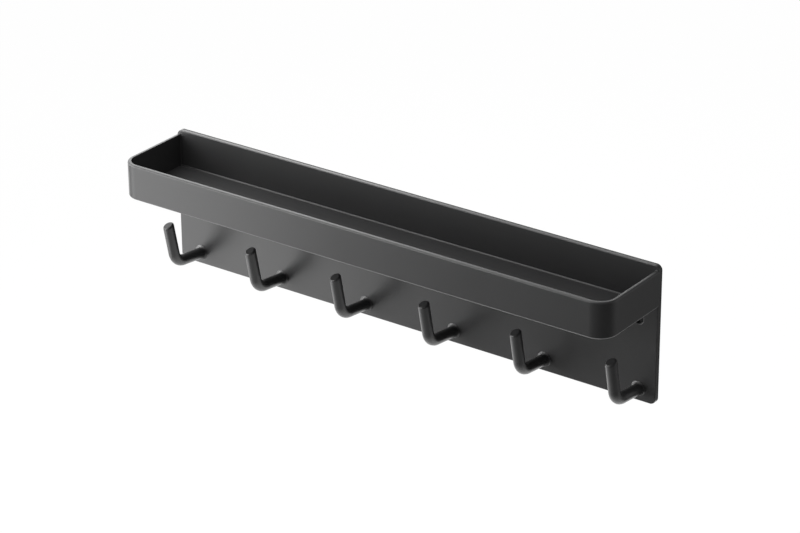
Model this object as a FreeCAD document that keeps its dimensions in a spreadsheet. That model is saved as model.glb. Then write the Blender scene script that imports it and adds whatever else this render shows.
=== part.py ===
"""A magnetic key rack: a steel wall plate with a tray on its front and six bent hooks along its foot.

Millimetres. X runs along the rack, Y points into the wall and Z points up. The origin is the middle of the
magnet sheet's back face, where the rack holds on to a steel surface, so the whole rack lies at negative Y.
"""

import FreeCAD, Part
import math
import os

import Sketcher

# Driving dimensions: name, value and what it measures
DIMENSIONS = [
    ("rack_length", 300.0, "length along X of plate, magnet and tray"),
    ("rack_depth", 50.0, "wall to the tray's front face"),
    ("plate_height", 75.0, "height of the plate and of the magnet sheet"),
    ("plate_thickness", 2.0, "steel sheet of the plate"),
    ("plate_corner", 3.0, "radius of the plate's four corners"),
    ("plate_softening", 0.4, "rounding of the plate's front edge under its coating"),
    ("magnet_thickness", 1.0, "flexible magnet sheet"),
    ("hole_diameter", 5.4, "round holes in the plate, under the tray's two ends"),
    ("hole_softening", 0.8, "rounding of the hole's front edge"),
    ("hole_end_distance", 11.0, "hole's centre to the plate's end"),
    ("hole_top_distance", 30.5, "hole's centre to the plate's top edge"),
    ("band_drop", 2.4, "tray's rim below the plate's top edge"),
    ("band_height", 19.5, "height of the tray's steel band"),
    ("band_thickness", 2.0, "thickness of the tray's steel band"),
    ("band_corner", 10.0, "outer radius of the tray's two corners"),
    ("band_softening", 0.6, "rounding of the band's long edges"),
    ("floor_thickness", 1.5, "steel sheet of the tray's floor"),
    ("floor_inset", 0.2, "floor's underside above the band's lower edge"),
    ("seam_radius", 0.8, "bead that closes the floor against the plate"),
    ("bar_diameter", 6.0, "round bar of the hooks"),
    ("hook_foot_distance", 6.5, "hook's root above the plate's lower edge"),
    ("hook_reach", 21.9, "root to the corner of the hook's centre line"),
    ("hook_rise", 6.5, "degrees by which the first leg rises outwards"),
    ("hook_arm", 24.1, "corner of the centre line to the middle of the hook's cut end"),
    ("hook_lean", 12.0, "degrees by which the second leg leans outwards"),
    ("hook_bend", 8.2, "bend radius on the centre line"),
    ("hook_tip_slant", 18.0, "degrees by which the hook's end is cut out of square"),
    ("hook_tip_turn", 45.0, "degrees from across the rack towards the plate in which the slanted end rises"),
    ("hook_tip_softening", 1.0, "rounding round the hook's cut end"),
    ("hook_first", 14.1, "first hook's axis to the plate's left end"),
    ("hook_last", 9.4, "last hook's axis to the plate's right end"),
    ("collar_height", 0.8, "weld collar beyond the bar's surface, at the plate"),
    ("collar_length", 1.6, "length of the weld collar along the bar"),
]

HOOKS = 6
SHEET = "Dimensions"

# How far a cutting or joining solid runs past the face that it meets, so that no two faces coincide
OVERRUN = 1.0
# Differences below which two lengths, or two points, count as the same when edges are looked up
NEAR = 1e-4
NEAR_POINT = 1e-2

document = FreeCAD.newDocument("KeyRack")


def make_sheet():
    """The spreadsheet of driving dimensions: label, value with alias, meaning."""
    sheet = document.addObject("Spreadsheet::Sheet", SHEET)
    for row, (name, value, meaning) in enumerate(DIMENSIONS, start=1):
        sheet.set(f"A{row}", name)
        sheet.set(f"B{row}", str(value))
        sheet.set(f"C{row}", meaning)
        sheet.setAlias(f"B{row}", name)
    document.recompute()


def size(name):
    """Present value of one dimension."""
    return float(document.getObject(SHEET).get(name))


def cell(name):
    """The dimension as it is written in an expression."""
    return f"{SHEET}.{name}"


def make_body(label, across=None, outwards=None, up=None):
    """An empty body, placed by expressions for X, for the distance in front of the wall and for Z."""
    body = document.addObject("PartDesign::Body", label)
    body.Label = label
    if across:
        body.setExpression(".Placement.Base.x", across)
    if outwards:
        body.setExpression(".Placement.Base.y", f"-({outwards})")
    if up:
        body.setExpression(".Placement.Base.z", up)
    return body


def make_sketch(body, plane, name, turn_axis=None, turn=None):
    """A sketch on one of the body's origin planes, turned about an axis of that plane by an expression."""
    sketch = body.newObject("Sketcher::SketchObject", name)
    support = [item for item in body.Origin.OriginFeatures if item.Role == plane][0]
    sketch.AttachmentSupport = [(support, "")]
    sketch.MapMode = "FlatFace"
    if turn:
        sketch.AttachmentOffset = FreeCAD.Placement(FreeCAD.Vector(), FreeCAD.Rotation(turn_axis, -1.0))
        sketch.setExpression(".AttachmentOffset.Rotation.Angle", turn)
    return sketch


def point(x, y):
    return FreeCAD.Vector(x, y, 0.0)


def line(sketch, start, end, construction=False):
    return sketch.addGeometry(Part.LineSegment(point(*start), point(*end)), construction)


def arc(sketch, centre, radius, first_angle, last_angle):
    """An arc drawn anticlockwise between two angles in degrees."""
    circle = Part.Circle(point(*centre), FreeCAD.Vector(0, 0, 1), radius)
    return sketch.addGeometry(Part.ArcOfCircle(circle, math.radians(first_angle), math.radians(last_angle)))


def bind(sketch, kind, *where, to):
    """A driving constraint whose value is an expression. It starts from what the sketch measures."""
    index = sketch.addConstraint(Sketcher.Constraint(kind, *where))
    sketch.setExpression(f"Constraints[{index}]", to)


def tie(sketch, kind, *where):
    sketch.addConstraint(Sketcher.Constraint(kind, *where))


def rounded_rectangle(sketch, width, height, radius, width_cell, height_cell, radius_cell):
    """Rectangle about the sketch's origin with four equal corner arcs."""
    x, y = width / 2 - radius, height / 2 - radius
    bottom = line(sketch, (-x, -height / 2), (x, -height / 2))
    corner_a = arc(sketch, (x, -y), radius, -90, 0)
    right = line(sketch, (width / 2, -y), (width / 2, y))
    corner_b = arc(sketch, (x, y), radius, 0, 90)
    top = line(sketch, (x, height / 2), (-x, height / 2))
    corner_c = arc(sketch, (-x, y), radius, 90, 180)
    left = line(sketch, (-width / 2, y), (-width / 2, -y))
    corner_d = arc(sketch, (-x, -y), radius, 180, 270)
    ring = [bottom, corner_a, right, corner_b, top, corner_c, left, corner_d]
    for here, following in zip(ring, ring[1:] + ring[:1]):
        tie(sketch, "Tangent", here, 2, following, 1)
    tie(sketch, "Horizontal", bottom)
    tie(sketch, "Horizontal", top)
    tie(sketch, "Vertical", right)
    tie(sketch, "Vertical", left)
    for corner in (corner_b, corner_c, corner_d):
        tie(sketch, "Equal", corner_a, corner)
    tie(sketch, "Symmetric", corner_a, 3, corner_c, 3, -1, 1)
    bind(sketch, "DistanceX", left, 1, right, 1, width, to=width_cell)
    bind(sketch, "DistanceY", bottom, 1, top, 1, height, to=height_cell)
    bind(sketch, "Radius", corner_a, radius, to=radius_cell)


def pad(body, sketch, length, name, midplane=False):
    """Extrusion of a sketch along its normal, or to both sides of its plane."""
    feature = body.newObject("PartDesign::Pad", name)
    feature.Profile = sketch
    feature.Midplane = midplane
    feature.setExpression("Length", length)
    document.recompute()
    return feature


def cut(body, sketch, name, midplane=False, reverse=False):
    """Pocket through everything. It must take material away."""
    before = body.Shape.Volume
    feature = body.newObject("PartDesign::Pocket", name)
    feature.Profile = sketch
    feature.Type = "ThroughAll"
    feature.Midplane = midplane
    feature.Reversed = reverse
    document.recompute()
    if feature.Shape.Volume >= before - NEAR:
        raise RuntimeError(f"{name} cuts nothing")
    return feature


def edge_names(shape, chosen):
    """Names of the edges for which the test holds."""
    return [f"Edge{number}" for number, edge in enumerate(shape.Edges, start=1) if chosen(edge)]


def soften(body, base, name, chosen, amount):
    """Fillet on the chosen edges of the feature before it."""
    names = edge_names(base.Shape, chosen)
    if not names:
        raise RuntimeError(f"{name} finds no edge")
    feature = body.newObject("PartDesign::Fillet", name)
    feature.Base = (base, names)
    feature.setExpression("Radius", amount)
    document.recompute()
    return feature


def make_magnet():
    """Flexible magnet sheet on the back, with the plate's own outline."""
    body = make_body("magnet_sheet")
    outline = make_sketch(body, "XZ_Plane", "MagnetOutline")
    rounded_rectangle(
        outline,
        size("rack_length"),
        size("plate_height"),
        size("plate_corner"),
        cell("rack_length"),
        cell("plate_height"),
        cell("plate_corner"),
    )
    pad(body, outline, cell("magnet_thickness"), "MagnetPad")
    return body


def make_plate():
    """Steel wall plate with a round hole under each end of the tray. The magnet closes the holes behind."""
    body = make_body("wall_plate", outwards=cell("magnet_thickness"))
    outline = make_sketch(body, "XZ_Plane", "PlateOutline")
    rounded_rectangle(
        outline,
        size("rack_length"),
        size("plate_height"),
        size("plate_corner"),
        cell("rack_length"),
        cell("plate_height"),
        cell("plate_corner"),
    )
    pad(body, outline, cell("plate_thickness"), "PlatePad")

    across = size("rack_length") / 2 - size("hole_end_distance")
    up = size("plate_height") / 2 - size("hole_top_distance")
    holes = make_sketch(body, "XZ_Plane", "HoleCircles")
    left, right = [
        holes.addGeometry(Part.Circle(point(x, up), FreeCAD.Vector(0, 0, 1), size("hole_diameter") / 2))
        for x in (-across, across)
    ]
    tie(holes, "Equal", left, right)
    tie(holes, "Symmetric", left, 3, right, 3, -2)
    bind(holes, "Radius", left, size("hole_diameter") / 2, to=f"{cell('hole_diameter')} / 2")
    bind(
        holes,
        "DistanceX",
        left,
        3,
        right,
        3,
        2 * across,
        to=f"{cell('rack_length')} - 2 * {cell('hole_end_distance')}",
    )
    bind(holes, "DistanceY", -1, 1, left, 3, up, to=f"{cell('plate_height')} / 2 - {cell('hole_top_distance')}")
    drilled = cut(body, holes, "PlateHoles", reverse=True)

    front = -size("plate_thickness")

    def on_front(edge):
        return abs(edge.BoundBox.YMin - front) < NEAR and abs(edge.BoundBox.YMax - front) < NEAR

    def is_hole(edge):
        return edge.Closed

    rounded = soften(
        body,
        drilled,
        "HoleEdges",
        lambda edge: on_front(edge) and is_hole(edge),
        cell("hole_softening"),
    )
    soften(
        body,
        rounded,
        "PlateEdge",
        lambda edge: on_front(edge) and not is_hole(edge),
        cell("plate_softening"),
    )
    return body


def front_face():
    """Distance from the wall to the plate's front face, as an expression."""
    return f"{cell('magnet_thickness')} + {cell('plate_thickness')}"


def tray_reach():
    """Distance from the plate's front face to the tray's front face, as an expression."""
    return f"{cell('rack_depth')} - {cell('magnet_thickness')} - {cell('plate_thickness')}"


def band_bottom():
    """Height of the band's lower edge, as an expression."""
    return f"{cell('plate_height')} / 2 - {cell('band_drop')} - {cell('band_height')}"


def make_band():
    """Flat steel band bent into a U, its two ends butted on the plate's front face."""
    body = make_body("tray_band", outwards=front_face(), up=band_bottom())
    thickness = size("band_thickness")
    height = size("band_height")
    radius = size("band_corner") - thickness / 2
    x = size("rack_length") / 2 - thickness / 2
    y = size("rack_depth") - size("magnet_thickness") - size("plate_thickness") - thickness / 2

    path = make_sketch(body, "XY_Plane", "BandPath")
    left = line(path, (-x, 0), (-x, radius - y))
    left_corner = arc(path, (radius - x, radius - y), radius, 180, 270)
    front = line(path, (radius - x, -y), (x - radius, -y))
    right_corner = arc(path, (x - radius, radius - y), radius, 270, 360)
    right = line(path, (x, radius - y), (x, 0))
    chain = [left, left_corner, front, right_corner, right]
    for here, following in zip(chain, chain[1:]):
        tie(path, "Tangent", here, 2, following, 1)
    tie(path, "Vertical", left)
    tie(path, "Vertical", right)
    tie(path, "Horizontal", front)
    tie(path, "Equal", left_corner, right_corner)
    tie(path, "Symmetric", left, 1, right, 2, -1, 1)
    bind(path, "DistanceX", left, 1, right, 2, 2 * x, to=f"{cell('rack_length')} - {cell('band_thickness')}")
    bind(
        path,
        "DistanceY",
        front,
        1,
        left,
        1,
        y,
        to=f"{tray_reach()} - {cell('band_thickness')} / 2",
    )
    bind(path, "Radius", left_corner, radius, to=f"{cell('band_corner')} - {cell('band_thickness')} / 2")

    section = make_sketch(body, "XZ_Plane", "BandSection")
    section.setExpression(".AttachmentOffset.Base.x", f"({cell('band_thickness')} - {cell('rack_length')}) / 2")
    section.setExpression(".AttachmentOffset.Base.y", f"{cell('band_height')} / 2")
    rounded_rectangle(
        section,
        thickness,
        height,
        size("band_softening"),
        cell("band_thickness"),
        cell("band_height"),
        cell("band_softening"),
    )
    document.recompute()

    sweep = body.newObject("PartDesign::AdditivePipe", "BandSweep")
    sweep.Profile = section
    sweep.Spine = path
    document.recompute()
    return body


def make_floor():
    """Steel sheet that fills the band's lower opening, with a bead along the plate."""
    body = make_body("tray_floor", outwards=front_face(), up=f"{band_bottom()} + {cell('floor_inset')}")
    thickness = size("band_thickness")
    radius = size("band_corner") - thickness
    x = size("rack_length") / 2 - thickness
    y = size("rack_depth") - size("magnet_thickness") - size("plate_thickness") - thickness

    outline = make_sketch(body, "XY_Plane", "FloorOutline")
    back = line(outline, (x, 0), (-x, 0))
    left = line(outline, (-x, 0), (-x, radius - y))
    left_corner = arc(outline, (radius - x, radius - y), radius, 180, 270)
    front = line(outline, (radius - x, -y), (x - radius, -y))
    right_corner = arc(outline, (x - radius, radius - y), radius, 270, 360)
    right = line(outline, (x, radius - y), (x, 0))
    tie(outline, "Coincident", back, 2, left, 1)
    tie(outline, "Coincident", right, 2, back, 1)
    chain = [left, left_corner, front, right_corner, right]
    for here, following in zip(chain, chain[1:]):
        tie(outline, "Tangent", here, 2, following, 1)
    tie(outline, "Vertical", left)
    tie(outline, "Vertical", right)
    tie(outline, "Horizontal", front)
    tie(outline, "Equal", left_corner, right_corner)
    tie(outline, "Symmetric", back, 1, back, 2, -1, 1)
    bind(outline, "DistanceX", back, 2, back, 1, 2 * x, to=f"{cell('rack_length')} - 2 * {cell('band_thickness')}")
    bind(
        outline,
        "DistanceY",
        front,
        1,
        left,
        1,
        y,
        to=f"{tray_reach()} - {cell('band_thickness')}",
    )
    bind(outline, "Radius", left_corner, radius, to=f"{cell('band_corner')} - {cell('band_thickness')}")
    pad(body, outline, cell("floor_thickness"), "FloorPad")

    bead = size("seam_radius")
    seam = make_sketch(body, "YZ_Plane", "SeamProfile")
    seam.setExpression(".AttachmentOffset.Base.y", cell("floor_thickness"))
    foot = line(seam, (0, 0), (-bead, 0))
    crown = arc(seam, (0, 0), bead, 90, 180)
    wall = line(seam, (0, bead), (0, 0))
    tie(seam, "Coincident", foot, 2, crown, 2)
    tie(seam, "Coincident", crown, 1, wall, 1)
    tie(seam, "Coincident", wall, 2, foot, 1)
    tie(seam, "Coincident", foot, 1, -1, 1)
    tie(seam, "Coincident", crown, 3, -1, 1)
    tie(seam, "Horizontal", foot)
    tie(seam, "Vertical", wall)
    bind(seam, "Radius", crown, bead, to=cell("seam_radius"))
    pad(body, seam, f"{cell('rack_length')} - 2 * {cell('band_thickness')}", "SeamPad", midplane=True)
    return body


def hook_place(number):
    """X of a hook's axis, as an expression: the hooks share out the room between the first and the last evenly."""
    row = f"({cell('rack_length')} - {cell('hook_first')} - {cell('hook_last')})"
    return f"{cell('hook_first')} - {cell('rack_length')} / 2 + {row} * {number - 1} / {HOOKS - 1}"


def make_hook(number):
    """Round bar bent up at its front, flared at its root by a weld collar and cut off with a slant at its tip."""
    label = f"hook_{number}"
    body = make_body(
        label,
        across=hook_place(number),
        outwards=front_face(),
        up=f"{cell('hook_foot_distance')} - {cell('plate_height')} / 2",
    )
    rise, lean = size("hook_rise"), size("hook_lean")
    reach, arm, bend = size("hook_reach"), size("hook_arm"), size("hook_bend")
    bar = size("bar_diameter") / 2
    across_axis = FreeCAD.Vector(1, 0, 0)
    normal_axis = FreeCAD.Vector(0, 0, 1)
    risen, leaning = f"{cell('hook_rise')} * 1 deg", f"{cell('hook_lean')} * 1 deg"
    slant, turned = f"{cell('hook_tip_slant')} * 1 deg", f"{cell('hook_tip_turn')} * 1 deg"
    minus_rise = f"-{risen}"

    # Centre line, in a sketch turned so that the first leg runs along its negative axis
    upward = math.radians(90 + lean + rise)
    along = (math.cos(upward), math.sin(upward))
    turn = 90 - lean - rise
    setback = bend * math.tan(math.radians(turn / 2))
    path = make_sketch(body, "YZ_Plane", f"HookPath{number}", normal_axis, minus_rise)
    corner = (-reach, 0)
    spare = 2 * bar
    end = (corner[0] + (arm + spare) * along[0], (arm + spare) * along[1])
    reach_line = line(path, (0, 0), corner, construction=True)
    arm_line = line(path, corner, end, construction=True)
    first = line(path, (0, 0), (setback - reach, 0))
    curve = arc(path, (setback - reach, bend), bend, 270 - turn, 270)
    second = line(path, (corner[0] + setback * along[0], setback * along[1]), end)
    tie(path, "Coincident", reach_line, 1, -1, 1)
    tie(path, "Coincident", reach_line, 2, arm_line, 1)
    tie(path, "PointOnObject", reach_line, 2, -1)
    tie(path, "Coincident", first, 1, -1, 1)
    tie(path, "Tangent", first, 2, curve, 2)
    tie(path, "Tangent", curve, 1, second, 1)
    tie(path, "Coincident", second, 2, arm_line, 2)
    tie(path, "PointOnObject", first, 2, -1)
    tie(path, "PointOnObject", second, 1, arm_line)
    bind(path, "Distance", reach_line, reach, to=cell("hook_reach"))
    bind(path, "Distance", arm_line, arm + spare, to=f"{cell('hook_arm')} + {cell('bar_diameter')}")
    bind(path, "Angle", arm_line, upward, to=f"(90 + {cell('hook_lean')} + {cell('hook_rise')}) * 1 deg")
    bind(path, "Radius", curve, bend, to=cell("hook_bend"))

    section = make_sketch(body, "XZ_Plane", f"HookSection{number}", across_axis, minus_rise)
    circle = section.addGeometry(Part.Circle(point(0, 0), FreeCAD.Vector(0, 0, 1), bar))
    tie(section, "Coincident", circle, 3, -1, 1)
    bind(section, "Radius", circle, bar, to=f"{cell('bar_diameter')} / 2")
    document.recompute()
    bent_bar = body.newObject("PartDesign::AdditivePipe", f"HookBar{number}")
    bent_bar.Profile = section
    bent_bar.Spine = path
    document.recompute()

    # Weld collar: a concave flare, tangent to the bar, that runs into the plate
    rim, flare = bar + size("collar_height"), size("collar_length")
    hollow = (flare**2 + size("collar_height") ** 2) / (2 * size("collar_height"))
    spread = math.degrees(math.asin(flare / hollow))
    collar = make_sketch(body, "YZ_Plane", f"CollarProfile{number}", normal_axis, minus_rise)
    axis_side = line(collar, (-flare, 0), (OVERRUN, 0))
    back = line(collar, (OVERRUN, 0), (OVERRUN, rim))
    land = line(collar, (OVERRUN, rim), (0, rim))
    sweep = arc(collar, (-flare, bar + hollow), hollow, 270, 270 + spread)
    nose = line(collar, (-flare, bar), (-flare, 0))
    tie(collar, "Coincident", axis_side, 2, back, 1)
    tie(collar, "Coincident", back, 2, land, 1)
    tie(collar, "Coincident", land, 2, sweep, 2)
    tie(collar, "Coincident", sweep, 1, nose, 1)
    tie(collar, "Coincident", nose, 2, axis_side, 1)
    tie(collar, "PointOnObject", axis_side, 1, -1)
    tie(collar, "Horizontal", axis_side)
    tie(collar, "Vertical", back)
    tie(collar, "Horizontal", land)
    tie(collar, "Vertical", nose)
    tie(collar, "PointOnObject", land, 2, -2)
    tie(collar, "Vertical", sweep, 3, nose, 1)
    bind(collar, "DistanceX", -1, 1, axis_side, 2, OVERRUN, to=str(OVERRUN))
    bind(collar, "DistanceX", nose, 1, -1, 1, flare, to=cell("collar_length"))
    bind(collar, "DistanceY", nose, 2, nose, 1, bar, to=f"{cell('bar_diameter')} / 2")
    bind(collar, "DistanceY", back, 1, back, 2, rim, to=f"{cell('bar_diameter')} / 2 + {cell('collar_height')}")
    weld = body.newObject("PartDesign::Revolution", f"Collar{number}")
    weld.Profile = collar
    weld.ReferenceAxis = (collar, ["H_Axis"])
    weld.Angle = 360
    document.recompute()

    # Everything behind the plate's front face is cut away
    reach_back = 2 * OVERRUN + bar
    half = 2 * rim
    behind = make_sketch(body, "YZ_Plane", f"BehindPlate{number}")
    low = line(behind, (0, -half), (reach_back, -half))
    far = line(behind, (reach_back, -half), (reach_back, half))
    high = line(behind, (reach_back, half), (0, half))
    face = line(behind, (0, half), (0, -half))
    ring = [low, far, high, face]
    for here, following in zip(ring, ring[1:] + ring[:1]):
        tie(behind, "Coincident", here, 2, following, 1)
    tie(behind, "Horizontal", low)
    tie(behind, "Vertical", far)
    tie(behind, "Horizontal", high)
    tie(behind, "Symmetric", face, 1, face, 2, -1, 1)
    bind(behind, "DistanceX", low, 1, low, 2, reach_back, to=f"{2 * OVERRUN} + {cell('bar_diameter')} / 2")
    bind(
        behind,
        "DistanceY",
        face,
        2,
        face,
        1,
        2 * half,
        to=f"2 * ({cell('bar_diameter')} + 2 * {cell('collar_height')})",
    )
    cut(body, behind, f"PlateFace{number}", midplane=True)

    # The slanted cut: its plane goes through the arm's centre line, and all beyond it is taken off
    outwards = f"{cell('hook_reach')} * cos({risen}) + {cell('hook_arm')} * sin({leaning})"
    upwards = f"{cell('hook_reach')} * sin({risen}) + {cell('hook_arm')} * cos({leaning})"
    leaned = f"rotation(vector(1; 0; 0); {leaning})"
    tipped = f"rotation(vector(sin({turned}); -cos({turned}); 0); {slant})"
    beyond = make_sketch(body, "XY_Plane", f"TipPlane{number}")
    beyond.setExpression("AttachmentOffset", f"placement(vector(0; -({outwards}); {upwards}); {leaned} * {tipped})")
    ring = beyond.addGeometry(Part.Circle(point(0, 0), FreeCAD.Vector(0, 0, 1), 2 * bar))
    tie(beyond, "Coincident", ring, 3, -1, 1)
    bind(beyond, "Radius", ring, 2 * bar, to=cell("bar_diameter"))
    document.recompute()
    slanted = cut(body, beyond, f"TipCut{number}", reverse=True)
    centre = beyond.AttachmentOffset.Base

    def at_tip(edge):
        return edge.Closed and edge.CenterOfMass.distanceToPoint(centre) < NEAR_POINT

    soften(body, slanted, f"TipEdge{number}", at_tip, cell("hook_tip_softening"))
    return body


def check(bodies):
    """Stops on any failed object and on any sub-part that is not one valid solid."""
    for item in document.Objects:
        if "Invalid" in item.State or "Error" in item.State:
            raise RuntimeError(f"{item.Label} failed: {item.State}")
    for body in bodies:
        shape = body.Shape
        if shape.isNull() or not shape.isValid() or len(shape.Solids) != 1:
            raise RuntimeError(f"{body.Label} is not one valid solid")


make_sheet()
parts = [make_magnet(), make_plate(), make_band(), make_floor()]
parts += [make_hook(number) for number in range(1, HOOKS + 1)]
document.recompute()
check(parts)
os.makedirs("parts", exist_ok=True)
for part in parts:
    part.Shape.exportStep(f"parts/{part.Label}.step")
    print(part.Label, round(part.Shape.Volume, 1), part.Shape.BoundBox)
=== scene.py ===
"""Looks of the magnetic key rack: powder-coated plate, tray and hooks, with a magnet sheet behind.

Lengths are written in millimetres and put into the meshes in metres. X runs along the rack, Y points into
the wall and Z points up; the origin is the middle of the magnet sheet's back face.
"""

import math

import bmesh
import bpy
import numpy as np
from mathutils import Matrix


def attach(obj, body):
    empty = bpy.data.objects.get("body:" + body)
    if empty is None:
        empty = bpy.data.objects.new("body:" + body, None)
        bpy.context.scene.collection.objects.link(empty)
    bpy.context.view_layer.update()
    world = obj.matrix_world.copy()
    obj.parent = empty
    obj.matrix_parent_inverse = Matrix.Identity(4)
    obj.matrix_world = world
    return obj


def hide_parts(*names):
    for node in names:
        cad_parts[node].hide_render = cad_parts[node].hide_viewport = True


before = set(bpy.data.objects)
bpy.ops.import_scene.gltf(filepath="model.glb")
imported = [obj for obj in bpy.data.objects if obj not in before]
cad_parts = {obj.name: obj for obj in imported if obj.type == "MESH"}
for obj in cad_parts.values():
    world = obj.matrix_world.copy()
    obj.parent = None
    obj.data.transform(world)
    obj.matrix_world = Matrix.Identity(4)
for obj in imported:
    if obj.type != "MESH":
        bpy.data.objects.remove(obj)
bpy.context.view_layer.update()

MM = 0.001

# Rack, millimetres
END = 150.0
DEPTH = 50.0
TOP = 37.5
MAGNET = 1.0
PLATE_FACE = 3.0
PLATE_CORNER = 3.0
PLATE_SOFTENING = 0.4
PLATE_BACK_SOFTENING = 0.12
MAGNET_SOFTENING = 0.15
HOLE_X = 139.0
HOLE_Z = 7.0
HOLE_RADIUS = 2.7
HOLE_SOFTENING = 0.8
HOLE_PATCH = 5.0
BAND_LOW = 15.6
BAND_HIGH = 35.1
BAND_THICKNESS = 2.0
BAND_CORNER = 10.0
BAND_SOFTENING = 1.0
BAND_INNER_SOFTENING = 0.35
FLOOR_LOW = 15.8
FLOOR_HIGH = 17.3

# Bead between the tray's floor and the plate: radius, and where and over what length its painted highlight
# fades out towards the rack's ends, as painted shade near the tray's shaded ends
SEAM = 0.5
SEAM_HIGHLIGHT_END = 10.0
SEAM_HIGHLIGHT_FADE = 25.0

# Welds at the band's two ends: leg, depth into the band, depth below its outer face, and how far round its
# outer edges they are ground flush, where 1 is the outer face alone
WELD = 0.4
WELD_ROOT = 0.3
WELD_SUNK = 0.004
WELD_FLUSH = 1.15

# Hooks, millimetres and degrees
HOOKS = 6
HOOK_FIRST = -135.9
HOOK_PITCH = 55.3
HOOK_ROOT = -31.0
HOOK_REACH = 21.9
HOOK_RISE = 6.5
HOOK_ARM = 24.1
HOOK_LEAN = 12.0
HOOK_BEND = 8.2
BAR = 3.0
TIP_SLANT = 18.0
TIP_TURN = 45.0
TIP_ROUNDING = 1.0
TIP_ZONE = 4.0
COLLAR_HEIGHT = 0.8
COLLAR_LENGTH = 1.6

# The hooks' weld beads: where they are fullest, by how much, and how uneven they are round the bar
WELD_TURN = 136.0
WELD_SWELL = 0.8
WELD_LONG_WAVES = 0.12
WELD_SHORT_WAVES = 0.06
WELD_PHASE = 1.7

# Painted highlight: how strongly edge values lay the coat's lighter colour, and a smoother finish, on
# softened edges, on the floor's bead, and at the upper and lower left of a hook's weld, where it falls off
# along the collar
EDGE_HIGHLIGHT = 0.1
BEAD_HIGHLIGHT = 0.4
WELD_UPPER_HIGHLIGHT = 1.0
WELD_LOWER_HIGHLIGHT = 0.6
WELD_HIGHLIGHT = 1.6
WELD_HIGHLIGHT_FALL = 1.2

# Support points lie this far from where a flat runs into a rounding, so that the flat shades flat
LEAD = 0.12
# Points closer than this, in metres, are one point
MERGE = 2e-6

# Fineness of the grids: millimetres between the points on straights, and points along each curve
PLATE_STEP = 6.0
SHEET_STEP = 8.0
HOLE_STEP = 0.4
COLLAR_STEP = 0.12
LEG_STEP = 0.8
ARM_STEP = 1.0
ARC_POINTS = 9
PLATE_RIM_POINTS = 7
MAGNET_RIM_POINTS = 4
SLAB_CORNER_POINTS = 13
BAND_CORNER_POINTS = 25
FLOOR_CORNER_POINTS = 17
HOLE_SIDE_POINTS = 17
HOLE_ROWS = 5
BEND_POINTS = 31
BAR_POINTS = 48


# Meshes


def stitched(name, grids, material):
    """One closed mesh from grids of points: neighbours in a grid share a quad, and where a grid is closed
    its last row or column joins the first. Points that coincide are merged, and the faces turned outwards.

    Each grid is (points of shape rows, columns, 3; rows closed; columns closed; edge values). An edge value
    of 1 lays the coat's painted highlight colour and smoother finish there, and 0 leaves the coat plain."""
    points, faces, edges, offset = [], [], [], 0
    for grid, close_rows, close_columns, edge in grids:
        rows, columns = grid.shape[:2]
        number = offset + np.arange(rows * columns).reshape(rows, columns)
        if close_rows:
            number = np.concatenate([number, number[:1]])
        if close_columns:
            number = np.concatenate([number, number[:, :1]], axis=1)
        corners = [number[:-1, :-1], number[1:, :-1], number[1:, 1:], number[:-1, 1:]]
        points.append(grid.reshape(-1, 3) * MM)
        faces.append(np.stack(corners, axis=-1).reshape(-1, 4))
        edges.append(np.broadcast_to(edge, (rows, columns)).ravel())
        offset += rows * columns
    mesh = bpy.data.meshes.new(name)
    mesh.from_pydata(np.concatenate(points).tolist(), [], np.concatenate(faces).tolist())
    # Edge values per point: the coat reads them as its painted highlight colour and smoother finish
    highlight_attribute = mesh.attributes.new("edge", "FLOAT", "POINT")
    highlight_attribute.data.foreach_set("value", np.concatenate(edges).astype(np.float32))
    work = bmesh.new()
    work.from_mesh(mesh)
    bmesh.ops.remove_doubles(work, verts=work.verts, dist=MERGE)
    bmesh.ops.dissolve_degenerate(work, edges=work.edges, dist=MERGE / 2)
    open_edges = [edge for edge in work.edges if edge.is_boundary]
    if open_edges:
        bmesh.ops.holes_fill(work, edges=open_edges)
    bmesh.ops.recalc_face_normals(work, faces=work.faces)
    work.to_mesh(mesh)
    work.free()
    mesh.shade_smooth()
    mesh.materials.append(material)
    piece = bpy.data.objects.new(name, mesh)
    bpy.context.scene.collection.objects.link(piece)
    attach(piece, "root")
    return piece


def turn(degrees):
    """Cosine and sine of an angle or of an array of angles, stacked in the last axis."""
    return np.stack([np.cos(np.radians(degrees)), np.sin(np.radians(degrees))], axis=-1)


def crest(points):
    """Edge values across a rounding: the root of half a sine wave, 0 at the flats and 1 in the middle."""
    return np.sin(np.pi * np.linspace(0, 1, points)) ** 0.5


def bar_section(width, height, outer, inner):
    """Closed section of a flat bar: four flats joined by quarter circles, anticlockwise from the outer side.

    Each corner is centre + radius (cos, sin), with one support point on the flat before it and one on the
    flat after it. Returns the points and the edge value of each."""
    points, edge = [], []
    for quarter, radius in enumerate((outer, inner, inner, outer)):
        angles = 90.0 * quarter + np.linspace(0, 90, ARC_POINTS)
        sign = np.sign(turn(90.0 * quarter + 45.0))
        centre = sign * (np.array([width, height]) / 2 - radius)
        arc = centre + radius * turn(angles)
        points += [arc[:1] - LEAD * turn(angles[0] + 90), arc, arc[-1:] + LEAD * turn(angles[-1] + 90)]
        edge += [[0.0], crest(ARC_POINTS), [0.0]]
    return np.concatenate(points), np.concatenate(edge)


def carried(section, line, across, up):
    """A section carried along a line: point + first number of the section x across + second number x up."""
    return line[:, None] + section[None, :, :1] * across[:, None] + section[None, :, 1:] * up[:, None]


def between(first, last, spacing):
    """Evenly spaced numbers from the first to the last, no further apart than the spacing."""
    return np.linspace(first, last, max(1, math.ceil(abs(last - first) / spacing)) + 1)


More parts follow.
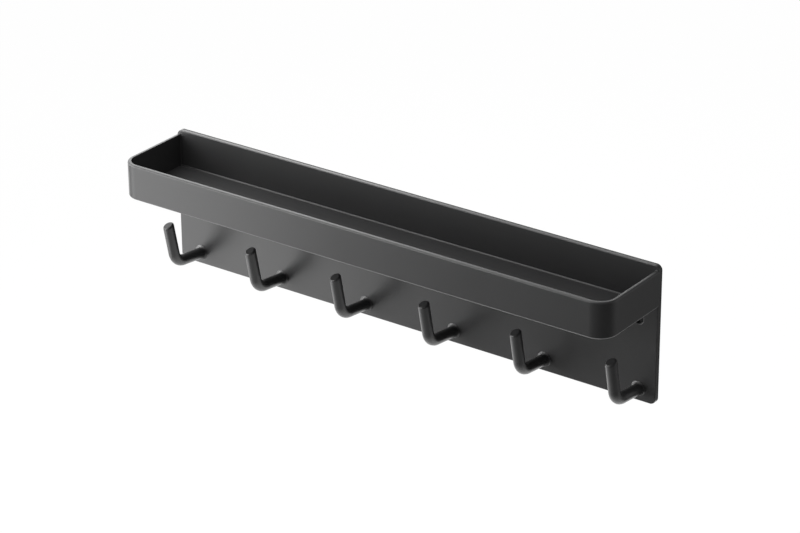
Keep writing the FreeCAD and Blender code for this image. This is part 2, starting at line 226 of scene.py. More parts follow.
def tray_line(inset):
    """The U of the tray seen from above, a distance inside its outer face: side, quarter turn, front,
    quarter turn, side. Each turn is centre + radius (cos, sin). Returns the points, at height 0, and the
    direction outwards at each."""
    radius = BAND_CORNER - inset
    x, y = END - BAND_CORNER, DEPTH - BAND_CORNER
    side = np.concatenate([[PLATE_FACE], between(PLATE_FACE + LEAD / 2, y - LEAD, PLATE_STEP)])
    front = between(LEAD - x, x - LEAD, PLATE_STEP)
    angles = np.linspace(180, 270, BAND_CORNER_POINTS)
    left_turn, right_turn = turn(angles), turn(angles + 90)
    points = np.concatenate([
        np.stack([np.full(side.size, inset - END), -side], axis=-1),
        [-x, -y] + radius * left_turn,
        np.stack([front, np.full(front.size, inset - DEPTH)], axis=-1),
        [x, -y] + radius * right_turn,
        np.stack([np.full(side.size, END - inset), -side[::-1]], axis=-1),
    ])
    outwards = np.concatenate([
        np.tile([-1.0, 0.0], (side.size, 1)),
        left_turn,
        np.tile([0.0, -1.0], (front.size, 1)),
        right_turn,
        np.tile([1.0, 0.0], (side.size, 1)),
    ])
    flat = np.zeros((len(points), 1))
    return np.hstack([points, flat]), np.hstack([outwards, flat])


def band_section():
    """The band's own section: its outer long edges are softened more than its inner ones."""
    return bar_section(BAND_THICKNESS, BAND_HIGH - BAND_LOW, BAND_SOFTENING, BAND_INNER_SOFTENING)


def make_band(material):
    """Flat steel band bent into a U: the band's section carried round the tray's line."""
    section, edge = band_section()
    line, outwards = tray_line(BAND_THICKNESS / 2)
    line[:, 2] = (BAND_HIGH + BAND_LOW) / 2
    up = np.tile([0.0, 0.0, 1.0], (len(line), 1))
    grid = carried(section, line, outwards, up)
    # Painted highlight on the band's rounded edges
    piece = stitched("band_coat", [(grid, False, True, edge * EDGE_HIGHLIGHT)], material)
    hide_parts("tray_band")


def make_floor(material):
    """Sheet inside the band. Its section across the rack is carried along X: back edge, bead against the
    plate, top, front edge and underside. The front edge follows the band's inner face: in a corner of radius
    r it lies r - sqrt(r^2 - d^2) behind the front, where d is how far x has gone into the corner."""
    inner = BAND_CORNER - BAND_THICKNESS
    start = END - BAND_CORNER
    corner = start + inner * np.sin(np.radians(np.linspace(0, 90, FLOOR_CORNER_POINTS)))
    x = np.concatenate([-corner[::-1], between(-start, start, SHEET_STEP)[1:-1], corner])
    into = np.clip(np.abs(x) - start, 0, inner)
    front = inner - np.sqrt(np.maximum(inner**2 - into**2, 0)) - (DEPTH - BAND_THICKNESS)
    bead = SEAM * turn(np.linspace(90, 180, ARC_POINTS)) + [-PLATE_FACE, FLOOR_HIGH]
    depth = np.array([0, 0.125, 0.25, 0.375, 0.5, 0.625, 0.75, 0.875, 0.997, 1])[:, None]
    back = -PLATE_FACE - SEAM - LEAD
    top_y = back + depth * (front[None] - back)
    ones = np.ones((1, x.size))
    low = FLOOR_LOW * ones
    y = np.concatenate([-PLATE_FACE * ones, bead[:, :1] * ones, top_y, front[None]])
    z = np.concatenate([low, bead[:, 1:] * ones, FLOOR_HIGH * np.ones_like(top_y), low])
    grid = np.stack([np.broadcast_to(x, y.shape), y, z], axis=-1)
    edge = np.zeros(y.shape)
    # Painted highlight along the bead, fading out as painted shade near the tray's ends
    edge[1:1 + len(bead)] = BEAD_HIGHLIGHT * np.clip((END - SEAM_HIGHLIGHT_END - np.abs(x)) / SEAM_HIGHLIGHT_FADE, 0, 1)
    piece = stitched("tray_floor_coat", [(grid, True, False, edge)], material)
    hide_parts("tray_floor")


def slab(half_x, half_z, corner, profile, columns, rows):
    """Rim of a flat sheet with rounded corners, and what its two faces need.

    The rim is a profile of (distance outwards, y) carried round the inner rectangle, whose corners are
    the centres of the corner arcs: base point + distance times the direction outwards. The faces are
    plain grids on that rectangle. Returns the rim's grid and the columns and rows of the faces."""
    x, z = half_x - corner, half_z - corner
    columns = np.concatenate([[-x], columns, [x]])
    rows = np.concatenate([[-z], rows, [z]])
    quarter = np.linspace(0, 90, SLAB_CORNER_POINTS)
    base = np.concatenate([
        np.stack([columns, np.full(columns.size, -z)], axis=-1),
        np.tile([x, -z], (quarter.size, 1)),
        np.stack([np.full(rows.size, x), rows], axis=-1),
        np.tile([x, z], (quarter.size, 1)),
        np.stack([columns[::-1], np.full(columns.size, z)], axis=-1),
        np.tile([-x, z], (quarter.size, 1)),
        np.stack([np.full(rows.size, -x), rows[::-1]], axis=-1),
        np.tile([-x, -z], (quarter.size, 1)),
    ])
    aim = np.concatenate([
        np.full(columns.size, -90.0),
        quarter - 90,
        np.full(rows.size, 0.0),
        quarter,
        np.full(columns.size, 90.0),
        quarter + 90,
        np.full(rows.size, 180.0),
        quarter + 180,
    ])
    side = turn(aim)
    flat = base[:, None] + profile[None, :, :1] * side[:, None]
    y = np.broadcast_to(profile[None, :, 1], flat.shape[:2])
    return np.stack([flat[..., 0], y, flat[..., 1]], axis=-1), columns, rows


def rim_profile(reach, front, back, front_radius, back_radius, points):
    """Profile of a sheet's rim as (distance outwards, y): front face, rounding, edge, rounding, back face.
    Each rounding is centre + radius (cos, sin). Returns the profile and the edge value of each point."""
    quarter = np.linspace(0, 90, points)
    front_arc = turn(quarter - 90) * front_radius + [reach - front_radius, front + front_radius]
    back_arc = turn(quarter) * back_radius + [reach - back_radius, back - back_radius]
    lead = min(LEAD, back_radius)
    profile = np.concatenate([
        [[0.0, front], [reach - front_radius - LEAD, front]],
        front_arc,
        [[reach, front + front_radius + lead / 2], [reach, back - back_radius - lead / 2]],
        back_arc,
        [[reach - back_radius - LEAD, back], [0.0, back]],
    ])
    edge = np.concatenate([[0, 0], crest(points), [0, 0], crest(points), [0, 0]])
    # Painted highlight on the rounded edges
    return profile, edge * EDGE_HIGHLIGHT


def face_grid(columns, rows, y):
    """Flat grid at one y: every column with every row."""
    x, z = np.meshgrid(columns, rows, indexing="ij")
    return np.stack([x, np.full(x.shape, y), z], axis=-1)


def hole_patch(centre_x, y_front, y_back, marks):
    """The plate round one hole, from a square patch in front through the hole to the same patch behind.

    The points of the square are the marks on its sides. Row by row they move in to the circle: centre +
    radius (cos, sin) towards the same mark, with the hole's front edge rounded by a quarter circle."""
    side = np.full(marks.size - 1, HOLE_PATCH)
    square = np.concatenate([
        np.stack([marks[:-1], -side], axis=-1),
        np.stack([side, marks[:-1]], axis=-1),
        np.stack([-marks[:-1], side], axis=-1),
        np.stack([-side, -marks[:-1]], axis=-1),
    ])
    aim = square / np.linalg.norm(square, axis=1, keepdims=True)
    mouth = HOLE_RADIUS + HOLE_SOFTENING
    spread = np.linspace(1, 0, HOLE_ROWS)[:, None, None]
    front = spread * square + (1 - spread) * aim * (mouth + LEAD)
    arc = turn(np.linspace(-90, -180, ARC_POINTS)) * HOLE_SOFTENING + [mouth, y_front + HOLE_SOFTENING]
    wall = between(y_front + HOLE_SOFTENING + LEAD, y_back, HOLE_STEP)
    circle = np.concatenate([arc, np.stack([np.full(wall.size, HOLE_RADIUS), wall], axis=-1)])
    back = spread[::-1] * square + (1 - spread[::-1]) * aim * HOLE_RADIUS
    flat = np.concatenate([front, circle[:, None, :1] * aim, back[1:]])
    y = np.concatenate([np.full(len(front), y_front), circle[:, 1], np.full(len(back) - 1, y_back)])
    edge = np.zeros(len(y))
    # Painted highlight on the hole's rounded mouth
    edge[len(front):len(front) + len(arc)] = EDGE_HIGHLIGHT * crest(len(arc))
    grid = np.stack([
        flat[..., 0] + centre_x,
        np.broadcast_to(y[:, None], flat.shape[:2]),
        flat[..., 1] + HOLE_Z,
    ], axis=-1)
    return grid, edge[:, None]


def make_plate(material):
    """Wall plate: softened rim, two faces, and two round holes with rounded mouths."""
    marks = np.linspace(-HOLE_PATCH, HOLE_PATCH, HOLE_SIDE_POINTS)
    inner = HOLE_X - HOLE_PATCH
    columns = np.concatenate([marks - HOLE_X, between(-inner, inner, PLATE_STEP)[1:-1], marks + HOLE_X])
    low, high = HOLE_Z - HOLE_PATCH, HOLE_Z + HOLE_PATCH
    below = between(PLATE_CORNER - TOP, low, PLATE_STEP)[1:-1]
    above = between(high, TOP - PLATE_CORNER, PLATE_STEP)[1:-1]
    rows = np.concatenate([below, marks + HOLE_Z, above])
    profile, edge = rim_profile(
        PLATE_CORNER, -PLATE_FACE, -MAGNET, PLATE_SOFTENING, PLATE_BACK_SOFTENING, PLATE_RIM_POINTS)
    rim, columns, rows = slab(END, TOP, PLATE_CORNER, profile, columns, rows)
    grids = [(rim, True, False, edge)]
    first, last = np.searchsorted(rows, [low - LEAD, high - LEAD])
    left = np.searchsorted(columns, [-HOLE_X - HOLE_PATCH - LEAD, -inner - LEAD])
    right = np.searchsorted(columns, [inner - LEAD, HOLE_X + HOLE_PATCH - LEAD])
    for y in (-PLATE_FACE, -MAGNET):
        whole = face_grid(columns, rows, y)
        grids += [(whole[:, :first + 1], False, False, 0.0), (whole[:, last:], False, False, 0.0)]
        middle = whole[:, first:last + 1]
        for start, stop in ((0, left[0]), (left[1], right[0]), (right[1], len(columns) - 1)):
            grids.append((middle[start:stop + 1], False, False, 0.0))
    for x in (-HOLE_X, HOLE_X):
        patch, mouth = hole_patch(x, -PLATE_FACE, -MAGNET, marks)
        grids.append((patch, False, True, mouth))
    piece = stitched("wall_plate_coat", grids, material)
    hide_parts("wall_plate")


def make_magnet(material):
    """Flexible magnet sheet: the same outline as the plate, with crisp cut edges."""
    profile, edge = rim_profile(
        PLATE_CORNER, -MAGNET, 0.0, MAGNET_SOFTENING, MAGNET_SOFTENING, MAGNET_RIM_POINTS)
    columns = between(PLATE_CORNER - END, END - PLATE_CORNER, SHEET_STEP)[1:-1]
    rows = between(PLATE_CORNER - TOP, TOP - PLATE_CORNER, SHEET_STEP)[1:-1]
    rim, columns, rows = slab(END, TOP, PLATE_CORNER, profile, columns, rows)
    grids = [(rim, True, False, edge)]
    grids += [(face_grid(columns, rows, y), False, False, 0.0) for y in (-MAGNET, 0.0)]
    piece = stitched("magnet_sheet_skin", grids, material)
    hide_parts("magnet_sheet")


def hook_line():
    """Centre line of a hook in the (y, z) plane: a straight leg, an arc round the bend's centre, and a
    straight arm as far as the tip's zone. Returns the points, the direction at each, the distance along
    the line at each, and the middle of the cut end."""
    rise, lean = math.radians(HOOK_RISE), math.radians(HOOK_LEAN)
    leg = np.array([-math.cos(rise), math.sin(rise)])
    arm = np.array([-math.sin(lean), math.cos(lean)])
    root = np.array([-PLATE_FACE, HOOK_ROOT])
    corner = root + HOOK_REACH * leg
    bend = math.acos(leg @ arm)
    setback = HOOK_BEND * math.tan(bend / 2)
    inwards = np.array([leg[1], -leg[0]])
    collar = between(0, COLLAR_LENGTH, COLLAR_STEP)
    near = np.concatenate([collar, between(COLLAR_LENGTH, HOOK_REACH - setback, LEG_STEP)[1:]])
    angle = np.linspace(0, bend, BEND_POINTS)[1:]
    far = between(0, HOOK_ARM - setback - TIP_ZONE, ARM_STEP)[1:]
    centre = corner - setback * leg + HOOK_BEND * inwards
    turned = HOOK_BEND * (np.outer(np.sin(angle), leg) - np.outer(np.cos(angle), inwards))
    points = np.concatenate([
        root + near[:, None] * leg,
        centre + turned,
        corner + (setback + far)[:, None] * arm,
    ])
    along = np.concatenate([
        np.tile(leg, (near.size, 1)),
        np.outer(np.cos(angle), leg) + np.outer(np.sin(angle), inwards),
        np.tile(arm, (far.size, 1)),
    ])
    curve = near[-1] + HOOK_BEND * angle
    return points, along, np.concatenate([near, curve, curve[-1] + far]), corner + HOOK_ARM * arm


def hook_tip(angles):
    """Radius and height, over the middle of the cut end, of the rings that close a hook's tip. The cut
    rises by the slope times the radius, where the slope is tan(slant) cos(angle - turn). A rounding joins it
    to the bar's side: centre + rounding (cos, sin), from the side up to the slanted end."""
    slope = math.tan(math.radians(TIP_SLANT)) * np.cos(np.radians(angles - TIP_TURN))
    centre = BAR - TIP_ROUNDING
    level = centre * slope - TIP_ROUNDING * np.hypot(1, slope)
    sweep = np.linspace(0, 1, ARC_POINTS)[:, None] * (np.pi / 2 + np.arctan(slope))
    round_radius = centre + TIP_ROUNDING * np.cos(sweep)
    round_height = level + TIP_ROUNDING * np.sin(sweep)
    climb = np.array([0.25, 0.5, 0.75, 1 - LEAD / TIP_ZONE])[:, None]
    end_radius = np.array([0.93, 0.5, 0.02])[:, None] * round_radius[-1]
    radius = np.concatenate([np.full((len(climb), angles.size), BAR), round_radius, end_radius])
    height = np.concatenate([climb * (level + TIP_ZONE) - TIP_ZONE, round_height, end_radius * slope])
    return radius, height


def make_hook(number, material):
    """One hook: a circle carried along the centre line. Its radius is the bar's, plus a hollow weld
    collar at the root: h - sqrt(h^2 - d^2), where h is the hollow's radius and d the distance to the
    collar's end. The root's ring is slid along the leg on to the plate's face, and the slide fades out
    behind the collar. The weld is fullest at the leg's upper left, where a lighter colour paints a
    highlight, as it does at the weld's lower left. The tip's rings close the bar with its slanted cut."""
    points, along, distance, end = hook_line()
    angles = np.linspace(0, 360, BAR_POINTS, endpoint=False)
    hollow = (COLLAR_LENGTH**2 + COLLAR_HEIGHT**2) / (2 * COLLAR_HEIGHT)
    into = np.clip(COLLAR_LENGTH - distance, 0, None)
    flare = hollow - np.sqrt(hollow**2 - into**2)
    phase = WELD_PHASE * number
    long_waves = WELD_LONG_WAVES * np.sin(np.radians(2 * angles) + phase)
    short_waves = WELD_SHORT_WAVES * np.sin(np.radians(5 * angles) - 2 * phase)
    upper = np.clip(np.cos(np.radians(angles - WELD_TURN)), 0, 1)
    lower = np.clip(np.cos(np.radians(angles + WELD_TURN)), 0, 1)
    uneven = 1 + long_waves + short_waves + WELD_SWELL * upper**2
    radius = BAR + flare[:, None] * uneven
    ring = turn(angles)
    normal = np.stack([along[:, 1], -along[:, 0]], axis=-1)
    x = radius * ring[None, :, 0]
    yz = points[:, None] + (radius * ring[None, :, 1])[..., None] * normal[:, None]
    slide = np.clip(1 - distance / (2 * COLLAR_LENGTH), 0, None) ** 2
    shift = (-PLATE_FACE - yz[0, :, 0]) / along[0, 0]
    yz = yz + (slide[:, None] * shift)[..., None] * along[0]
    tip_radius, tip_height = hook_tip(angles)
    tip_yz = end + tip_height[..., None] * along[-1] + (tip_radius * ring[:, 1])[..., None] * normal[-1]
    x = np.concatenate([x, tip_radius * ring[:, 0]]) + HOOK_FIRST + number * HOOK_PITCH
    grid = np.concatenate([x[..., None], np.concatenate([yz, tip_yz])], axis=-1)
    # Painted highlight on the weld's upper and lower left, fading along the collar
    at_plate = np.clip(WELD_HIGHLIGHT - WELD_HIGHLIGHT_FALL * distance / COLLAR_LENGTH, 0, 1)[:, None]
    weld_highlight = at_plate * (WELD_UPPER_HIGHLIGHT * upper + WELD_LOWER_HIGHLIGHT * lower)
    edge = np.concatenate([weld_highlight, np.zeros(tip_radius.shape)])
    piece = stitched(f"hook_{number + 1}_coat", [(grid, False, True, edge)], material)
    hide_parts(f"hook_{number + 1}")


def make_end_weld(name, side, material):
    """Weld that joins one end of the band to the plate. Round the band's section a hollow fillet of leg w
    runs from the plate to the band: outwards w (1 - sin t), off the plate w (1 - cos t). On the outer
    face it is ground flush and fills the groove beside the plate's softened edge."""
    section, _ = band_section()
    following = np.roll(section, -1, axis=0) - np.roll(section, 1, axis=0)
    normal = np.stack([following[:, 1], -following[:, 0]], axis=-1)
    normal /= np.linalg.norm(normal, axis=1, keepdims=True)
    free = np.clip(1 - WELD_FLUSH * np.clip(normal[:, 0], 0, 1), 0, 1)
    angle = np.radians(np.linspace(0, 90, ARC_POINTS))
    leg = WELD * free[:, None]
    outwards = leg * (1 - np.sin(angle))
    off = leg * (1 - np.cos(angle))
    sunk = PLATE_SOFTENING * (1 - free)[:, None] * (1 - np.sin(angle))
    outwards = np.concatenate([outwards, np.full((len(section), 2), -WELD_ROOT)], axis=1)
    root = np.full((len(section), 1), -PLATE_SOFTENING)
    off = np.concatenate([off - sunk, off[:, -1:], root], axis=1)
    flat = section[:, None] + outwards[..., None] * normal[:, None]
    half = BAND_THICKNESS / 2
    x = side * (END - half + np.minimum(flat[..., 0], half - WELD_SUNK))
    z = np.minimum(flat[..., 1] + (BAND_HIGH + BAND_LOW) / 2, TOP)
    grid = np.stack([x, -PLATE_FACE - off, z], axis=-1)
    stitched(name, [(grid, True, True, 0.0)], material)


# Materials


class Shade:
    """A shader socket that can be written in sums. An operator adds its Math node, and node() any other."""

    def __init__(self, tree, socket=None):
        self.tree = tree
        self.socket = socket

    def node(self, kind, settings=None, sockets=None, output=0):
        """A node of this type, with its settings first and then its sockets. Returns one output."""
        made = self.tree.nodes.new(kind)
        for name, value in (settings or {}).items():
            setattr(made, name, value)
        for name, value in (sockets or {}).items():
            if isinstance(value, Shade):
                self.tree.links.new(value.socket, made.inputs[name])
            else:
                made.inputs[name].default_value = value
        return Shade(self.tree, made.outputs[output])

    def maths(self, operation, *values):
        """The Math node of this operation on these values."""
        return self.node("ShaderNodeMath", {"operation": operation}, dict(enumerate(values)))

    def __add__(self, other):
        return self.maths("ADD", self, other)

    def __sub__(self, other):
        return self.maths("SUBTRACT", self, other)

    def __rsub__(self, other):
        return self.maths("SUBTRACT", other, self)

    def __mul__(self, other):
        return self.maths("MULTIPLY", self, other)

    __radd__ = __add__
    __rmul__ = __mul__


def noise(place, scale, detail):
    """Noise over a place in the object's own coordinates, 0 to 1; the scale is in waves per metre."""
    sockets = {"Vector": place, "Scale": scale, "Detail": detail, "Roughness": 0.5}
    return place.node("ShaderNodeTexNoise", {"noise_dimensions": "3D"}, sockets)


def blend(share, first, second):
    """Colour between two colours, at this share of the way."""
    sockets = {0: share, 6: first, 7: second}
    return share.node("ShaderNodeMix", {"data_type": "RGBA"}, sockets, output=2)


def blank_material(name):
    """A new material, its wrapped node tree and its output node."""
    material = bpy.data.materials.new(name)
    material.use_nodes = True
    material.node_tree.nodes.clear()
    output = material.node_tree.nodes.new("ShaderNodeOutputMaterial")
    return material, Shade(material.node_tree), output


def finish_surface(tree, output, surface):
    """Links the finished shader to the output node."""
    tree.tree.links.new(surface.socket, output.inputs["Surface"])


# Powder coat: colours, waves per metre, shares of the grain, relief, its depth in millimetres, roughness
COAT_DARK = (0.029, 0.029, 0.0295, 1.0)
COAT_LIGHT = (0.039, 0.039, 0.0395, 1.0)
# Lighter colour of the painted highlight on edges, the floor's bead and the hooks' welds
PAINTED_EDGE_HIGHLIGHT = (0.160, 0.160, 0.161, 1.0)
COAT_GRAIN = 3200.0
COAT_PEEL = 420.0
COAT_CLOUDS = 28.0
COAT_SPECKLE = 0.55
COAT_RELIEF = 0.35
COAT_BUMP = 0.35
COAT_DEPTH = 0.03
COAT_ROUGHNESS = 0.38
COAT_ROUGH_CLOUDS = 0.05
COAT_ROUGH_GRAIN = 0.06
COAT_EDGE_POLISH = 0.08


def powder_coat():
    """Satin black powder coat: fine grain, a slow orange peel, faint cloudiness, and a painted highlight
    on edges: a lighter colour there, where the coat is also smoother."""
    material, tree, output = blank_material("powder_coat")
    place = tree.node("ShaderNodeTexCoord", output=3)
    # Edge values: share of the painted highlight colour, and of the smoother finish
    edge = tree.node("ShaderNodeAttribute", {"attribute_name": "edge"}, output=2)
    grain = noise(place, COAT_GRAIN, detail=2.0)
    peel = noise(place, COAT_PEEL, detail=1.0)
    clouds = noise(place, COAT_CLOUDS, detail=2.0)
    speckle = grain * COAT_SPECKLE + clouds * (1 - COAT_SPECKLE)
    tone = blend(speckle, COAT_DARK, COAT_LIGHT)
    uneven = (clouds - 0.5) * COAT_ROUGH_CLOUDS + (grain - 0.5) * COAT_ROUGH_GRAIN
    bump = tree.node("ShaderNodeBump", None, {
        "Strength": COAT_BUMP,
        "Distance": COAT_DEPTH * MM,
        "Height": grain * COAT_RELIEF + peel * (1 - COAT_RELIEF),
    })
    coat = tree.node("ShaderNodeBsdfPrincipled", None, {
        "Base Color": blend(edge, tone, PAINTED_EDGE_HIGHLIGHT),
        "Roughness": COAT_ROUGHNESS + uneven - edge * COAT_EDGE_POLISH,
        "IOR": 1.5,
        "Normal": bump,
    })
    finish_surface(tree, output, coat)
    return material


# Magnet sheet: colours, waves per metre, share of the streaks, relief, its depth in millimetres, roughness
MAGNET_DARK = (0.018, 0.018, 0.019, 1.0)
MAGNET_LIGHT = (0.028, 0.028, 0.029, 1.0)
MAGNET_GRAIN = 2600.0
MAGNET_STREAKS = 900.0
MAGNET_STRETCH = (0.03, 1.0, 1.0)
MAGNET_STREAKED = 0.6
MAGNET_BUMP = 0.3
MAGNET_DEPTH = 0.03
MAGNET_ROUGHNESS = 0.62
MAGNET_ROUGH_STREAKS = 0.08


def magnet_rubber():
    """Flexible magnet sheet: matt dark rubber with faint streaks from the rollers along the rack."""
    material, tree, output = blank_material("magnet_rubber")
    place = tree.node("ShaderNodeTexCoord", output=3)
    stretched = tree.node("ShaderNodeMapping", None, {"Vector": place, "Scale": MAGNET_STRETCH})
    streaks = noise(stretched, MAGNET_STREAKS, detail=3.0)
    grain = noise(place, MAGNET_GRAIN, detail=2.0)
    mixed = streaks * MAGNET_STREAKED + grain * (1 - MAGNET_STREAKED)
    bump = tree.node("ShaderNodeBump", None, {
        "Strength": MAGNET_BUMP,
        "Distance": MAGNET_DEPTH * MM,
        "Height": mixed,
    })
    rubber = tree.node("ShaderNodeBsdfPrincipled", None, {
        "Base Color": blend(mixed, MAGNET_DARK, MAGNET_LIGHT),
        "Roughness": MAGNET_ROUGHNESS + streaks * MAGNET_ROUGH_STREAKS,
        "IOR": 1.5,
        "Normal": bump,
    })
    finish_surface(tree, output, rubber)
    return material


# Studio

# Camera: degrees, millimetres, and its near and far limits in metres
CAMERA_AZIMUTH = 36.005
CAMERA_ELEVATION = 25.107
CAMERA_ROLL = -0.357
CAMERA_TARGET = (15.79, -30.0, 11.856)
CAMERA_DISTANCE = 1506.99
CAMERA_NEAR = 0.01
CAMERA_FAR = 50.0
PHOTO_WIDTH = 800.0
FOCAL_PIXELS = 3012.27
SENSOR = 36.0

# Floor: how white it is to the camera, and a painted pool of glow on it that only the coat's reflections see
FLOOR_DROP = -260.0
FLOOR_REACH = 4000.0
FLOOR_WHITE = 0.94
FLOOR_GLOW = 1.04
FLOOR_CARD = (0.5, 0.5, 0.5, 1.0)
WHITE = (1.0, 1.0, 1.0, 1.0)
POOL_MIDDLE = (-60.0, 110.0)
POOL_REACH = (480.0, 380.0)
POOL_FADE = (0.55, 1.1)
POOL_BRIGHT = 1.8
POOL_DIM = 0.06

RACK_MIDDLE = (0.0, -25.0, 5.0)


def direction(azimuth, elevation):
    """Unit vector away from the rack. Azimuth 0 is in front of it and 90 to its right."""
    a, e = math.radians(azimuth), math.radians(elevation)
    return np.array([math.sin(a) * math.cos(e), -math.cos(a) * math.cos(e), math.sin(e)])


def aimed(azimuth, elevation, distance, aim, roll=0.0):
    """World matrix of a camera or lamp that looks at its aim from a distance, rolled anticlockwise."""
    back = direction(azimuth, elevation)
    level = np.cross([0.0, 0.0, 1.0], back)
    level /= np.linalg.norm(level)
    cosine, sine = turn(roll)
    matrix = np.eye(4)
    matrix[:3, 0] = cosine * level + sine * np.cross(back, level)
    matrix[:3, 1] = cosine * np.cross(back, level) - sine * level
    matrix[:3, 2] = back
    matrix[:3, 3] = (np.array(aim) + distance * back) * MM
    return Matrix(matrix.tolist())


def make_camera():
    """Long lens in front, to the right and above, at the photograph's angle, with its slight roll."""
    data = bpy.data.cameras.new("camera")
    data.sensor_width = SENSOR
    data.lens = SENSOR * FOCAL_PIXELS / PHOTO_WIDTH
    data.clip_start, data.clip_end = CAMERA_NEAR, CAMERA_FAR
    camera = bpy.data.objects.new("camera", data)
    camera.matrix_world = aimed(
        CAMERA_AZIMUTH, CAMERA_ELEVATION, CAMERA_DISTANCE, CAMERA_TARGET, CAMERA_ROLL)
    bpy.context.scene.collection.objects.link(camera)
    bpy.context.scene.camera = camera


def make_lamp(name, azimuth, elevation, distance, width, height, strength, aim=RACK_MIDDLE):
    """Rectangular soft lamp. The strength is its radiance, where 1 looks white."""
    data = bpy.data.lights.new(name, "AREA")
    data.shape = "RECTANGLE"
    data.size, data.size_y = width * MM, height * MM
    data.energy = strength * math.pi * width * height * MM**2
    lamp = bpy.data.objects.new(name, data)
    lamp.matrix_world = aimed(azimuth, elevation, distance, aim)
    lamp.visible_camera = False
    bpy.context.scene.collection.objects.link(lamp)


def ray_kinds(tree):
    """Masks of the rays that see the studio, directly or through glass, and of the mirrored ones."""
    path = tree.node("ShaderNodeLightPath").socket.node.outputs
    straight = Shade(tree.tree, path["Is Camera Ray"])
    mirrored = Shade(tree.tree, path["Is Glossy Ray"])
    through = Shade(tree.tree, path["Is Transmission Ray"])
    return tree.maths("MAXIMUM", straight, through), mirrored * (1 - through)


def fade(tree, value, limits, first, last):
    """Smooth step from the first value to the last while the value passes between the limits."""
    return tree.node("ShaderNodeMapRange", {"interpolation_type": "SMOOTHSTEP"}, {
        "Value": value,
        "From Min": limits[0],
        "From Max": limits[1],
        "To Min": first,
        "To Max": last,
    })


def make_floor_sheet():
    """Plain pale floor below the rack. To the camera it is mostly plain white, and the rest keeps the
    shadow. Mirrored rays see a painted pool of glow on it, bright below and behind the rack and dim
    further out: the distance from the pool's middle, in parts of its reach, fades from bright to dim."""
    material, tree, output = blank_material("pale_floor")
    seen, mirrored = ray_kinds(tree)
    place = tree.node("ShaderNodeTexCoord", output=3)
    middle = (POOL_MIDDLE[0] * MM, POOL_MIDDLE[1] * MM, 0.0)
    away = tree.node("ShaderNodeVectorMath", {"operation": "SUBTRACT"}, {0: place, 1: middle})
    reach = (1 / (POOL_REACH[0] * MM), 1 / (POOL_REACH[1] * MM), 0.0)
    share = tree.node("ShaderNodeVectorMath", {"operation": "MULTIPLY"}, {0: away, 1: reach})
    far = tree.node("ShaderNodeVectorMath", {"operation": "LENGTH"}, {0: share}, output=1)
    # Painted glow: the pool's emission, seen only by mirrored rays
    pool = fade(tree, far, POOL_FADE, POOL_BRIGHT, POOL_DIM)
    strength = seen * FLOOR_GLOW + mirrored * pool
    card = tree.node("ShaderNodeBsdfDiffuse", None, {"Color": FLOOR_CARD})
    glow = tree.node("ShaderNodeEmission", None, {"Color": WHITE, "Strength": strength})
    front = tree.node("ShaderNodeMixShader", None, {0: seen * FLOOR_WHITE + mirrored, 1: card, 2: glow})
    backfacing = tree.node("ShaderNodeNewGeometry", output=6)
    clear = tree.node("ShaderNodeBsdfTransparent")
    sheet = tree.node("ShaderNodeMixShader", None, {0: backfacing, 1: front, 2: clear})
    finish_surface(tree, output, sheet)
    side = FLOOR_REACH * MM
    corners = [(-side, -side), (side, -side), (side, side), (-side, side)]
    mesh = bpy.data.meshes.new("floor")
    mesh.from_pydata([(x, y, 0.0) for x, y in corners], [], [(0, 1, 2, 3)])
    mesh.materials.append(material)
    floor = bpy.data.objects.new("floor", mesh)
    floor.location.z = FLOOR_DROP * MM
    bpy.context.scene.collection.objects.link(floor)


# World: light of the room, how it rises with height, its shade, and where its pale wall is and begins
WORLD_LIGHT = 0.14
WORLD_RISE = 0.4
WORLD_SHADE = 0.06
WORLD_PALE_SIDE = (-0.85, 0.5, 0.25)
WORLD_FADE = (0.3, 0.85)


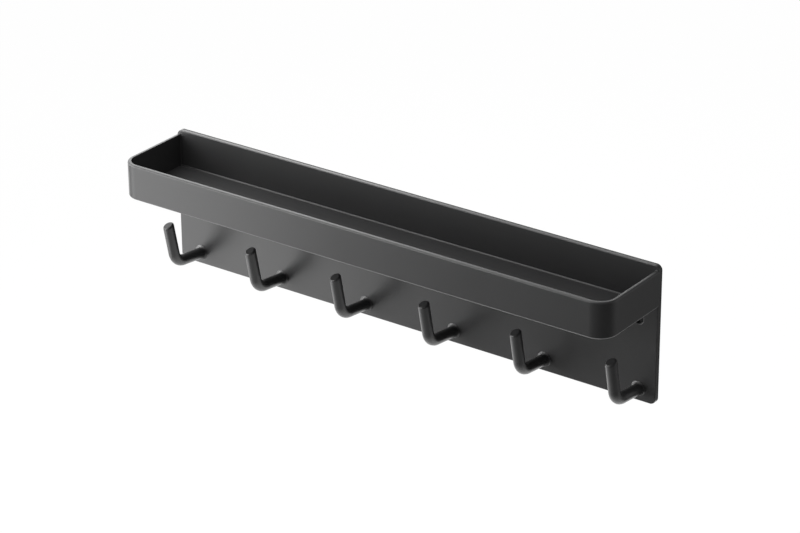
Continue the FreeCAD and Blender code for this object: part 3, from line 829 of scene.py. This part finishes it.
def make_world():
    """White to the camera. Mirrored rays meet a pale wall behind and to the left of the rack, which fades
    to a dim room in front and on the right: the ray's part towards the pale side fades from shade to 1.
    Other rays meet a low light that grows with height."""
    world = bpy.data.worlds.new("studio")
    world.use_nodes = True
    world.node_tree.nodes.clear()
    tree = Shade(world.node_tree)
    output = world.node_tree.nodes.new("ShaderNodeOutputWorld")
    seen, mirrored = ray_kinds(tree)
    ray = tree.node("ShaderNodeTexCoord", output=0)
    aim = np.array(WORLD_PALE_SIDE) / np.linalg.norm(WORLD_PALE_SIDE)
    sockets = {0: ray, 1: aim.tolist()}
    towards = tree.node("ShaderNodeVectorMath", {"operation": "DOT_PRODUCT"}, sockets, output=1)
    pale = fade(tree, towards, WORLD_FADE, WORLD_SHADE, 1.0)
    height = tree.node("ShaderNodeSeparateXYZ", None, {"Vector": ray}, output=2)
    room = mirrored * pale + (1 - mirrored) * (height * WORLD_RISE + WORLD_LIGHT)
    strength = tree.maths("MAXIMUM", room, seen)
    sky = tree.node("ShaderNodeBackground", None, {"Color": WHITE, "Strength": strength})
    finish_surface(tree, output, sky)
    bpy.context.scene.world = world


coat = powder_coat()
rubber = magnet_rubber()
make_plate(coat)
make_magnet(rubber)
make_band(coat)
make_floor(coat)
for number in range(HOOKS):
    make_hook(number, coat)
make_end_weld("end_weld_left", -1, coat)
make_end_weld("end_weld_right", 1, coat)

make_camera()
make_floor_sheet()
make_world()

# Lamps: azimuth, elevation, distance, width, height, strength, and the point that the lamp is aimed at
make_lamp("left_softbox", -56.0, -19.0, 330.0, 220.0, 280.0, 3.0, (-42.0, -25.0, 5.0))
make_lamp("front_softbox", -36.0, 9.0, 800.0, 460.0, 420.0, 6.1)
make_lamp("top_softbox", -40.0, 70.0, 700.0, 420.0, 420.0, 2.6)
make_lamp("back_softbox", -136.0, 36.0, 460.0, 300.0, 330.0, 2.7, (-110.0, -20.0, 20.0))
make_lamp("low_back_softbox", -150.0, 8.0, 900.0, 400.0, 260.0, 2.4)
make_lamp("far_left_softbox", -110.0, -12.0, 500.0, 300.0, 300.0, 2.0)
make_lamp("side_softbox", -85.0, 52.0, 380.0, 240.0, 240.0, 2.8, (-50.0, -25.0, 5.0))
make_lamp("upper_left_softbox", -66.0, 12.0, 330.0, 200.0, 200.0, 4.0, (-80.0, -10.0, 25.0))
make_lamp("right_fill", 120.0, 0.0, 600.0, 400.0, 400.0, 0.5)

bpy.context.scene.view_settings.view_transform = "Standard"
